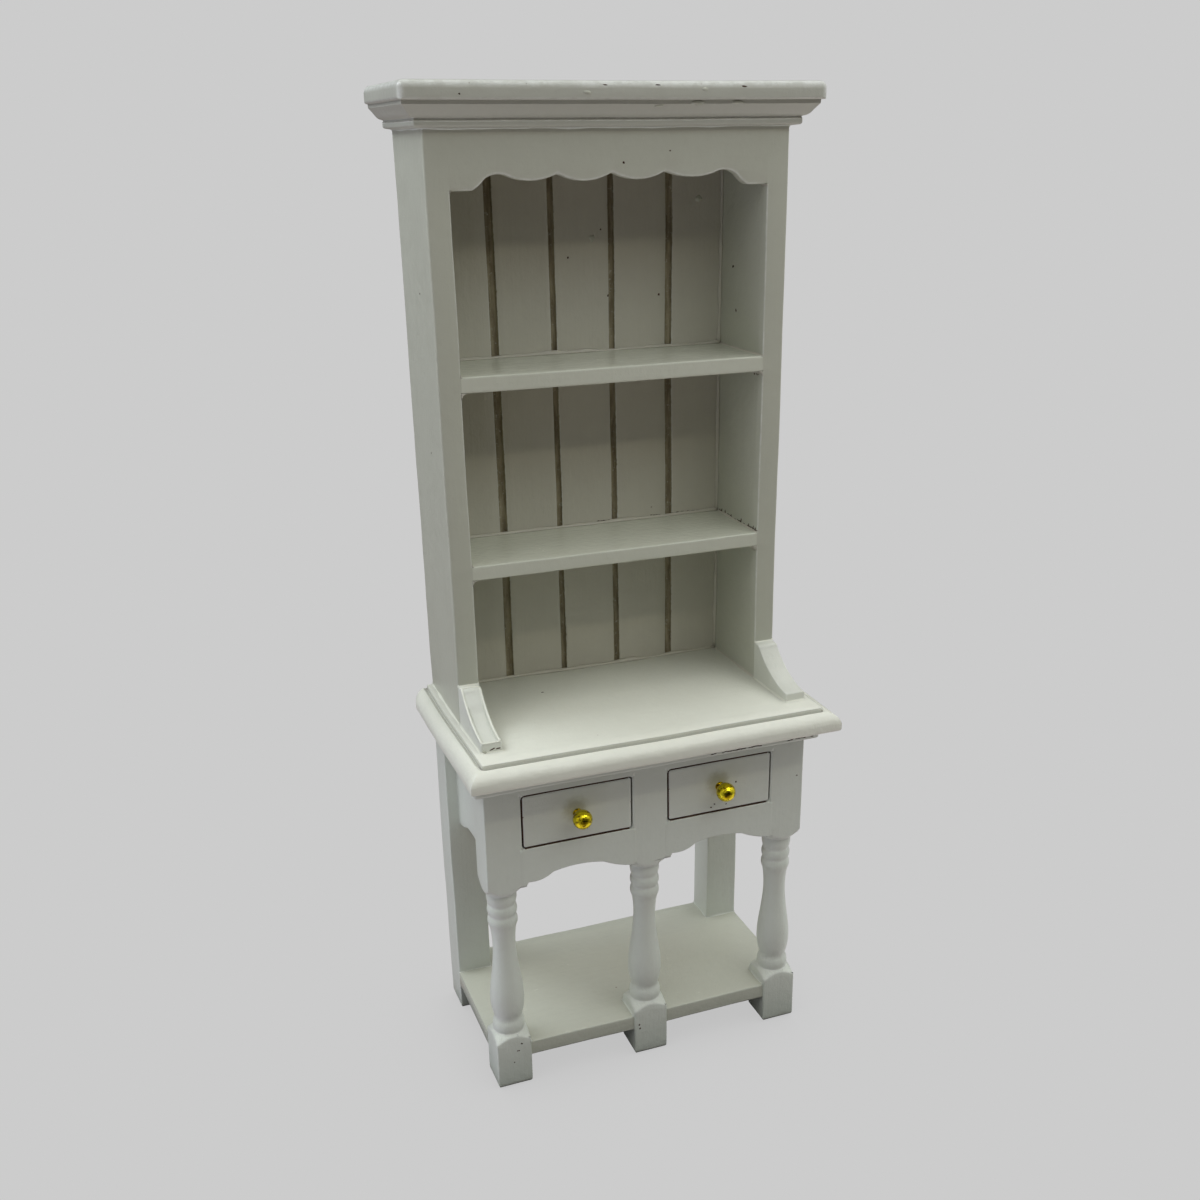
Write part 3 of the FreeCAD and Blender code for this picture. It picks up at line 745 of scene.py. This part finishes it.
boxes = {n: box_of(n) for n in nodes}
search = {n: mesh_tree(nodes[n].data) for n in nodes}
REAR_FACE = boxes["counter_top"][1].y
flaked = fibreboard("flaked_fibreboard", (5.0, 9.0, 31.0), FLAKED_DARK, FLAKED_LIGHT)
raw_edge = fibreboard("raw_fibreboard", (15.0, 3.0, 7.0), RAW_DARK, RAW_LIGHT)


def dress_painted():
    """Makes every painted piece, and gives them back for the marks to be laid on."""
    painted = []
    for grain, names in (("x", GRAIN_X), ("y", GRAIN_Y), ("z", GRAIN_Z)):
        for index, node in enumerate(names):
            offset = (37.0 * index, 53.0 * "xyz".index(grain), 19.0 * index)
            wear = 1.6 if "drawer" in node else 1.0
            grime_and_shadow_spot = None
            # A darker spot above and left of each knob: grime and a painted shadow of the knob.
            if node.endswith("drawer_front"):
                knob_low, knob_high = boxes[node.replace("front", "knob")]
                middle = (knob_low + knob_high) / 2
                grime_and_shadow_spot = (middle.x - 0.5 * MM, boxes[node][0].y, middle.z + 0.9 * MM)
            shaded = node == "counter_top"
            sheen = 0.10 if "shelf" in node else 0.22
            name = "paint_" + node
            material = paint(name, grain, offset, paint_and_shade_tone_of(node), wear, False, grime_and_shadow_spot, shaded, sheen)
            painted.append(painted_piece(node, material))
    panel = paint("paint_back_panel", "z", (11.0, 5.0, 91.0), BACK_SHADE_TONE, grooved=True)
    painted.append(painted_piece("hutch_back_panel", panel))
    return painted


# ---- paint in the joints, and damage ----
def bead(bm, start, end, side_a, side_b, radius=BEAD_R, raised=False, uneven=UNEVEN):
    """Uneven bead of paint in the corner between faces that look along side_a and side_b, hollow or raised."""
    run = end - start
    count = max(2, round(run.length / BEAD_PITCH))
    rings = []
    for index in range(count + 1):
        corner = start + run * (index / count) - (side_a + side_b) * BEAD_SINK
        reach = radius * (1.0 + uneven * noise.noise(corner / (4 * MM)))
        ring = [corner - (side_a + side_b) * BEAD_SINK]
        for step in range(BEAD_STEPS + 1):
            angle = math.radians(90) * step / BEAD_STEPS
            turned = side_a * math.cos(angle) + side_b * math.sin(angle)
            ring.append(corner + (turned if raised else side_a + side_b - turned) * reach)
        rings.append([bm.verts.new(point + wobble(point)) for point in ring])
    join_rings(bm, rings)


def join_rings(bm, rings):
    """Closed skin over a row of equal rings."""
    size = len(rings[0])
    for near, far in zip(rings, rings[1:]):
        for k in range(size):
            bm.faces.new((near[k], near[(k + 1) % size], far[(k + 1) % size], far[k]))
    bm.faces.new(rings[0][::-1])
    bm.faces.new(rings[-1])


def ridge(bm, track, half, rise):
    """Low uneven ridge of paint along a track of places and the ways they face; in places it has sunk."""
    rings = []
    for index, (place, out) in enumerate(track):
        ahead = track[min(index + 1, len(track) - 1)][0] - track[max(index - 1, 0)][0]
        across = ahead.cross(out).normalized()
        swell = rise * (0.8 + noise.noise(place / (3 * MM)))
        outline = ((-1.0, -RIDGE_SINK), (-0.4, swell), (0.4, swell), (1.0, -RIDGE_SINK))
        ring = [place + across * half * side + out * height for side, height in outline]
        rings.append([bm.verts.new(point + wobble(point)) for point in ring])
    join_rings(bm, rings)


def seam(bm, start, end, out):
    """Filler brushed over a butt joint."""
    count = max(2, round(2 * (end - start).length / BEAD_PITCH))
    track = [(start.lerp(end, index / count), out) for index in range(count + 1)]
    ridge(bm, track, SEAM_HALF, SEAM_RISE)


def rim_on_bracket(bm):
    """Raised rim round the pool of paint on the left bracket's slope."""
    low, high = boxes["left_counter_bracket"]
    left, right = low.x + RIM_INSET, high.x - RIM_INSET
    toe, head = low.y + RIM_INSET, high.y - 3 * RIM_INSET
    for start, end in (
        ((left, toe), (left, head)),
        ((right, toe), (right, head)),
        ((left, head), (right, head)),
        ((left, toe), (right, toe)),
    ):
        start, end = Vector(start), Vector(end)
        count = round((end - start).length / RIM_PITCH)
        track = []
        for index in range(count + 1):
            x, y = start.lerp(end, index / count)
            track.append(search["left_counter_bracket"].ray_cast(Vector((x, y, high.z + MM)), DOWN)[:2])
        ridge(bm, track, RIM_HALF, RIM_RISE)


def beads_in_openings(bm):
    """Rounds the corners of both drawer openings."""
    y = boxes["front_left_leg"][0].y
    end_y = boxes["left_drawer_front"][1].y
    for side, left_post, right_post in (("left", "left", "middle"), ("right", "middle", "right")):
        floor_z = boxes["front_" + side + "_apron"][1].z
        roof_z = boxes["front_" + side + "_top_rail"][0].z
        left_x = boxes["front_" + left_post + "_leg"][1].x
        right_x = boxes["front_" + right_post + "_leg"][0].x
        for x, inward in ((left_x, RIGHT), (right_x, LEFT)):
            for z, way in ((floor_z, UP), (roof_z, DOWN)):
                bead(bm, Vector((x, y, z)), Vector((x, end_y, z)), inward, way, OPENING_R, uneven=0.15)


def seams_in_front(bm):
    """Where the aprons and the top rails meet the front posts."""
    y = boxes["front_left_leg"][0].y
    for name in FLUSH:
        low, high = boxes[name]
        for x in (low.x - SEAM_INSET, high.x + SEAM_INSET):
            seam(bm, Vector((x, y, low.z)), Vector((x, y, high.z)), FRONT)


def beads_in_hutch(bm):
    inner = boxes["hutch_right_side"][0].x
    front = boxes["hutch_right_side"][0].y
    panel = boxes["hutch_back_panel"][0].y
    top = boxes["hutch_back_panel"][1].z
    floors = [boxes[n][1].z for n in ("counter_top", "lower_shelf", "upper_shelf")]
    roofs = [boxes[n][0].z for n in ("lower_shelf", "upper_shelf")] + [top]
    for floor_z, roof_z in zip(floors, roofs):
        for x, inward in ((-inner, RIGHT), (inner, LEFT)):
            bead(bm, Vector((x, panel, floor_z)), Vector((x, panel, roof_z)), inward, FRONT, RAISED_R, True)
            bead(bm, Vector((x, front, floor_z)), Vector((x, panel, floor_z)), inward, UP)
            bead(bm, Vector((x, front, roof_z)), Vector((x, panel, roof_z)), inward, DOWN, BEAD_R * 2.6)
        bead(bm, Vector((-inner, panel, floor_z)), Vector((inner, panel, floor_z)), FRONT, UP, RAISED_R, True)
        bead(bm, Vector((-inner, panel, roof_z)), Vector((inner, panel, roof_z)), FRONT, DOWN)
    valance_back = boxes["hutch_valance"][1].y
    under = boxes["hutch_valance"][0].z
    for x, inward in ((-inner, RIGHT), (inner, LEFT)):
        bead(bm, Vector((x, front, under)), Vector((x, valance_back, under)), inward, DOWN)


def beads_on_counter(bm):
    z = boxes["counter_top"][1].z
    for side, outward in (("left", LEFT), ("right", RIGHT)):
        low, high = boxes["hutch_" + side + "_side"]
        outer = low.x if side == "left" else high.x
        bead(bm, Vector((outer, low.y, z)), Vector((outer, high.y, z)), outward, UP)
        low, high = boxes[side + "_counter_bracket"]
        for x, way in ((low.x, LEFT), (high.x, RIGHT)):
            bead(bm, Vector((x, low.y, z)), Vector((x, high.y, z)), way, UP)
        bead(bm, Vector((low.x, low.y, z)), Vector((high.x, low.y, z)), FRONT, UP)
        bead(bm, Vector((low.x, high.y, high.z)), Vector((high.x, high.y, high.z)), FRONT, UP)


def beads_under_ledges(bm):
    """Under the cornice moulding, the counter's nose and the sub-top, along the front and the sides."""
    thin = BEAD_R * 0.7
    for ledge, wall in (
        ("cornice_front_moulding", "hutch_left_side"),
        ("counter_subtop", "front_left_leg"),
        ("counter_top", "counter_subtop"),
    ):
        z = boxes[ledge][0].z
        low = boxes[wall][0]
        bead(bm, Vector((low.x, low.y, z)), Vector((-low.x, low.y, z)), FRONT, DOWN, thin)
        for x, way in ((low.x, LEFT), (-low.x, RIGHT)):
            end = REAR_FACE if ledge != "counter_subtop" else boxes["front_left_leg"][1].y
            bead(bm, Vector((x, low.y, z)), Vector((x, end, z)), way, DOWN, thin)


def beads_at_feet(bm):
    z = boxes["bottom_shelf"][1].z
    rim = boxes["bottom_shelf"][0].y
    for name in ("left", "middle", "right"):
        low, high = boxes["front_" + name + "_leg"]
        bead(bm, Vector((low.x, high.y, z)), Vector((high.x, high.y, z)), REAR, UP)
        for x, way, shown in ((low.x, LEFT, name != "left"), (high.x, RIGHT, name != "right")):
            if shown:
                bead(bm, Vector((x, rim, z)), Vector((x, high.y, z)), way, UP)
    for name in ("left", "right"):
        low, high = boxes["rear_" + name + "_leg"]
        bead(bm, Vector((low.x, low.y, z)), Vector((high.x, low.y, z)), FRONT, UP)
        x, way = (high.x, RIGHT) if name == "left" else (low.x, LEFT)
        bead(bm, Vector((x, low.y, z)), Vector((x, high.y, z)), way, UP)
        rail_low, rail_high = boxes[name + "_side_rail"]
        face, out = (rail_low.x, LEFT) if name == "left" else (rail_high.x, RIGHT)
        foot = boxes["front_left_leg"][1].y
        for y, way in ((foot, REAR), (low.y, FRONT)):
            bead(bm, Vector((face, y, rail_low.z)), Vector((face, y, rail_high.z)), out, way)


def finish_extra(bm, name, body, materials):
    """Makes a new piece from a bmesh, and gives it its body and finish."""
    bmesh.ops.recalc_face_normals(bm, faces=bm.faces)
    for face in bm.faces:
        face.smooth = True
    mesh = bpy.data.meshes.new(name)
    bm.to_mesh(mesh)
    bm.free()
    for material in materials:
        mesh.materials.append(material)
    piece = bpy.data.objects.new(name, mesh)
    collection.objects.link(piece)
    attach(piece, body)
    return piece


def surface_near(trees, point):
    """Nearest place on the painted pieces, and the way the surface faces there."""
    found = [tree.find_nearest(point, MARK_REACH) for tree in trees]
    found = [hit for hit in found if hit[0] is not None]
    if not found:
        return point, FRONT
    location, normal = min(found, key=lambda hit: hit[3])[:2]
    return location, normal


def mark(bm, trees, place, length, width, turn, rim=CHIP_RISE, crown=CHIP_RISE):
    """Small irregular closed flake laid on the painted surface; a high crown makes it a lump."""
    centre, facing = surface_near(trees, Vector(place) * MM)
    across = UP.cross(facing).normalized() if abs(facing.z) < 0.9 else RIGHT
    along = facing.cross(across).normalized()
    tilt = math.radians(turn)
    rings = [[], [], []]
    for index in range(MARK_SIDES):
        angle = 2 * math.pi * index / MARK_SIDES
        seed = Vector(place) + Vector((math.cos(angle), math.sin(angle), 0)) * 1.7
        ragged = 0.5 + 0.28 * noise.noise(seed)
        u, v = math.cos(angle) * length * ragged, math.sin(angle) * width * ragged
        offset = across * (u * math.cos(tilt) - v * math.sin(tilt))
        offset += along * (u * math.sin(tilt) + v * math.cos(tilt))
        edge_point, edge_facing = surface_near(trees, centre + offset * MM)
        inner_point, inner_facing = surface_near(trees, centre + offset * MM * 0.55)
        rings[0].append(bm.verts.new(edge_point - edge_facing * CHIP_SINK))
        rings[1].append(bm.verts.new(edge_point + edge_facing * rim))
        rings[2].append(bm.verts.new(inner_point + inner_facing * crown))
    bm.faces.new(rings[0][::-1])
    bm.faces.new(rings[2])
    for low, high in zip(rings, rings[1:]):
        for k in range(MARK_SIDES):
            following = (k + 1) % MARK_SIDES
            bm.faces.new((low[k], low[following], high[following], high[k]))


def crack(bm, trees, start, end):
    """Broken line of small flakes where a joint has opened through the paint."""
    start, end = Vector(start), Vector(end)
    run = end - start
    count = int(run.length / CRACK_PITCH)
    turn = math.degrees(math.atan2(run.z, run.x if abs(run.x) > abs(run.y) else run.y))
    for index in range(count):
        place = start + run * ((index + 0.5) / count)
        level = noise.noise(place * 0.9)
        if level > -0.12:
            drop = Vector((0, 0, 0.18 * noise.noise(place * 2.3)))
            mark(bm, trees, place + drop, 0.62 + 0.4 * level, 0.16 + 0.14 * level, turn)


def add_beads():
    groups = (
        ("hutch_beads", BACK_SHADE_TONE, (beads_in_hutch,)),
        ("counter_beads", COUNTER_LIGHT_TONE, (beads_on_counter, rim_on_bracket)),
        ("base_beads", FRONT_TONE, (beads_under_ledges, beads_at_feet, seams_in_front, beads_in_openings)),
    )
    for index, (name, tone, makers) in enumerate(groups):
        bm = bmesh.new()
        for maker in makers:
            maker(bm)
        filler = paint("paint_in_" + name, "x", (3.0, 71.0, 23.0 * index), tone)
        finish_extra(bm, name, "carcass", [filler])


def strewn(rows, draws):
    """Places in millimetres, sizes and turns of the marks that the rows ask for."""
    for node, side, count, lengthwise, upward, size, lean in rows:
        low, high = boxes[node]
        flat = max(range(3), key=lambda axis: abs(side[axis]))
        place = Vector(high if side[flat] > 0 else low)
        for _ in range(count):
            for axis, shares in zip([axis for axis in range(3) if axis != flat], (lengthwise, upward)):
                place[axis] = low[axis] + (high[axis] - low[axis]) * draws.uniform(*shares)
            growth = draws.uniform(*GROWTH)
            yield place / MM, size[0] * growth, size[1] * growth, draws.uniform(-lean, lean)


def broken_joints():
    """The front half under the upper shelf and the whole length over the lower one, at the right side."""
    wall, panel = boxes["hutch_right_side"][0], boxes["hutch_back_panel"][0].y
    under = boxes["upper_shelf"][0].z - JOINT_OFF
    over = boxes["lower_shelf"][1].z + JOINT_OFF
    return (
        (Vector((wall.x, wall.y, under)), Vector((wall.x, (wall.y + panel) / 2, under))),
        (Vector((wall.x, wall.y, over)), Vector((wall.x, panel, over))),
    )


def open_cracks():
    """Two stretches under the counter's nose, and the two joints of the lower shelf at its right rear."""
    low, high = boxes["counter_subtop"]
    level = low.z + (high.z - low.z) * NOSE_CRACK_UP
    cracks = []
    for shares in NOSE_CRACKS:
        cracks.append([Vector((low.x + (high.x - low.x) * share, low.y, level)) for share in shares])
    front, rear = broken_joints()[1]
    cracks.append((rear, front))
    cracks.append((Vector((0.0, rear.y, rear.z)), rear))
    return cracks


def add_marks(painted):
    draws = random.Random(DAMAGE_SEED)
    trees = [mesh_tree(piece.data) for piece in painted]
    chips = bmesh.new()
    for entry in strewn(CARCASS_CHIPS, draws):
        mark(chips, trees, *entry)
    for start, end in broken_joints():
        for _ in range(JOINT_CHIPS):
            place, growth = start.lerp(end, draws.random()) / MM, draws.uniform(*GROWTH)
            lean = draws.uniform(-JOINT_LEAN, JOINT_LEAN)
            mark(chips, trees, place, JOINT_CHIP[0] * growth, JOINT_CHIP[1] * growth, 90 + lean)
    for start, end in open_cracks():
        crack(chips, trees, start / MM, end / MM)
    finish_extra(chips, "paint_chips", "carcass", [flaked])
    chips = bmesh.new()
    for entry in strewn(DRAWER_CHIPS, draws):
        mark(chips, trees, *entry)
    finish_extra(chips, "drawer_paint_chips", "right_drawer", [flaked])
    lumps = bmesh.new()
    for entry in strewn(LUMPS, draws):
        mark(lumps, trees, *entry, rim=LUMP_RIM, crown=LUMP_CROWN)
    lump_paint = paint("paint_in_lumps", "x", (9.0, 17.0, 61.0), USUAL_TONE)
    finish_extra(lumps, "paint_lumps", "carcass", [lump_paint])


def dress_wood():
    lengthwise = {"dust_board": "x", "left_drawer_guide": "y", "middle_drawer_guide": "y", "right_drawer_guide": "y"}
    for side in ("left", "right"):
        for board, grain in (("left_side", "y"), ("right_side", "y"), ("back", "x"), ("bottom", "y")):
            lengthwise[side + "_drawer_" + board] = grain
    for index, (node, grain) in enumerate(lengthwise.items()):
        board = nodes[node]
        board.data.materials.clear()
        board.data.materials.append(bare_wood("wood_" + node, grain, (29.0 * index, 17.0 * index, 41.0)))
        soften(board, 0.12 * MM)


def soften(board, width):
    """A small rounding on a CAD node's own edges."""
    weld = board.modifiers.new("weld", "WELD")
    weld.merge_threshold = WELD
    rounding = board.modifiers.new("arris", "BEVEL")
    rounding.width = width
    rounding.segments = 2
    rounding.angle_limit = SHARP


def dress_knobs():
    for index, side in enumerate(("left", "right")):
        knob = nodes[side + "_drawer_knob"]
        knob.data.materials.clear()
        knob.data.materials.append(gilt("gilt_" + side, (13.0 * index, 7.0, 3.0)))


# ---- stage ----
def light_rig():
    for name, place, size, radiance, tint in LAMPS:
        data = bpy.data.lights.new(name, "AREA")
        data.shape = "RECTANGLE"
        data.size, data.size_y = size
        data.energy = math.pi * size[0] * size[1] * radiance
        data.color = tint
        lamp = bpy.data.objects.new(name, data)
        lamp.location = place
        collection.objects.link(lamp)


def surround():
    """Plain pale surround for the camera, and soft glows from several sides for everything else."""
    world = bpy.data.worlds.new("surround")
    bpy.context.scene.world = world
    world.use_nodes = True
    tree = world.node_tree
    tree.nodes.clear()
    direction = put(tree, "ShaderNodeTexCoord").outputs["Generated"]
    total = None
    for toward, power, strength, tint in GLOWS:
        inputs = {0: direction, 1: Vector(toward).normalized()}
        facing = put(tree, "ShaderNodeVectorMath", inputs, operation="DOT_PRODUCT").outputs["Value"]
        glow = calc(tree, "POWER", calc(tree, "MAXIMUM", facing, 0.0), power)
        inputs = {0: [channel * strength for channel in tint], "Scale": glow}
        coloured = put(tree, "ShaderNodeVectorMath", inputs, operation="SCALE").outputs[0]
        if total is None:
            total = coloured
        else:
            total = put(tree, "ShaderNodeVectorMath", {0: total, 1: coloured}, operation="ADD").outputs[0]
    seen = put(tree, "ShaderNodeLightPath").outputs["Is Camera Ray"]
    fill = put(tree, "ShaderNodeBackground", {"Color": total, "Strength": 1.0})
    plain = put(tree, "ShaderNodeBackground", {"Color": PALE, "Strength": 1.0})
    mixed = put(tree, "ShaderNodeMixShader", {0: seen, 1: fill.outputs[0], 2: plain.outputs[0]})
    put(tree, "ShaderNodeOutputWorld", {"Surface": mixed.outputs[0]})


def floor_material():
    """Even pale card, with a painted shadow that darkens it softly where the piece stands on it."""
    material = new_material("pale_card")
    tree = material.node_tree
    # Painted shadow: the card's own glow dims near the piece.
    open_sky = put(tree, "ShaderNodeAmbientOcclusion", {"Distance": 0.035}, samples=8).outputs["AO"]
    shade = remap(tree, open_sky, 0.0, 1.0, 0.86, 1.0)
    colour = put(tree, "ShaderNodeVectorMath", {0: PALE[:3], "Scale": shade}, operation="SCALE").outputs[0]
    glow = put(tree, "ShaderNodeEmission", {"Color": colour, "Strength": 1.0})
    put(tree, "ShaderNodeOutputMaterial", {"Surface": glow.outputs[0]})
    return material


def lay_floor():
    reach = 6.0
    mesh = bpy.data.meshes.new("floor")
    corners = [(-reach, -reach, 0), (reach, -reach, 0), (reach, reach, 0), (-reach, reach, 0)]
    mesh.from_pydata(corners, [], [(0, 1, 2, 3)])
    mesh.materials.append(floor_material())
    floor = bpy.data.objects.new("floor", mesh)
    floor.visible_diffuse = False
    floor.visible_glossy = False
    floor.visible_shadow = False
    collection.objects.link(floor)


def lay_shade():
    """Dark card under the piece that only its own surfaces see; it stands for the shade on the floor there."""
    material = new_material("floor_shade")
    tree = material.node_tree
    cloud = noise_at(tree, put(tree, "ShaderNodeTexCoord").outputs["Object"], 60.0)
    colour = blend_colour(tree, cloud, SHADE_DARK, SHADE_LIGHT)
    shader = put(tree, "ShaderNodeBsdfDiffuse", {"Color": colour})
    put(tree, "ShaderNodeOutputMaterial", {"Surface": shader.outputs[0]})
    (left, front, _), (right, rear, _) = cad_box
    mesh = bpy.data.meshes.new("floor_shade")
    corners = [(left, front, -SHADE_DEPTH), (right, front, -SHADE_DEPTH)]
    corners += [(right, rear, -SHADE_DEPTH), (left, rear, -SHADE_DEPTH)]
    mesh.from_pydata(corners, [], [(0, 1, 2, 3)])
    mesh.materials.append(material)
    card = bpy.data.objects.new("floor_shade", mesh)
    card.visible_camera = False
    collection.objects.link(card)


def place_camera():
    data = bpy.data.cameras.new("camera")
    data.lens = CAMERA_LENS
    data.sensor_width = CAMERA_SENSOR
    data.shift_x, data.shift_y = CAMERA_SHIFT
    data.clip_start = 0.01
    data.clip_end = 20.0
    camera = bpy.data.objects.new("camera", data)
    sin_a, cos_a = math.sin(CAMERA_AZIMUTH), math.cos(CAMERA_AZIMUTH)
    sin_e, cos_e = math.sin(CAMERA_ELEVATION), math.cos(CAMERA_ELEVATION)
    back = Vector((sin_a * cos_e, -cos_a * cos_e, sin_e))
    right = Vector((cos_a, sin_a, 0))
    turn = Matrix((right, back.cross(right), back)).transposed() @ Matrix.Rotation(CAMERA_ROLL, 3, "Z")
    camera.matrix_world = Matrix.Translation(CAMERA_AT) @ turn.to_4x4()
    collection.objects.link(camera)
    bpy.context.scene.camera = camera


bpy.context.scene.view_settings.view_transform = "Standard"
bpy.context.scene.view_settings.look = "None"
painted_pieces = dress_painted()
add_beads()
add_marks(painted_pieces)
dress_wood()
dress_knobs()
light_rig()
surround()
lay_floor()
lay_shade()
place_camera()
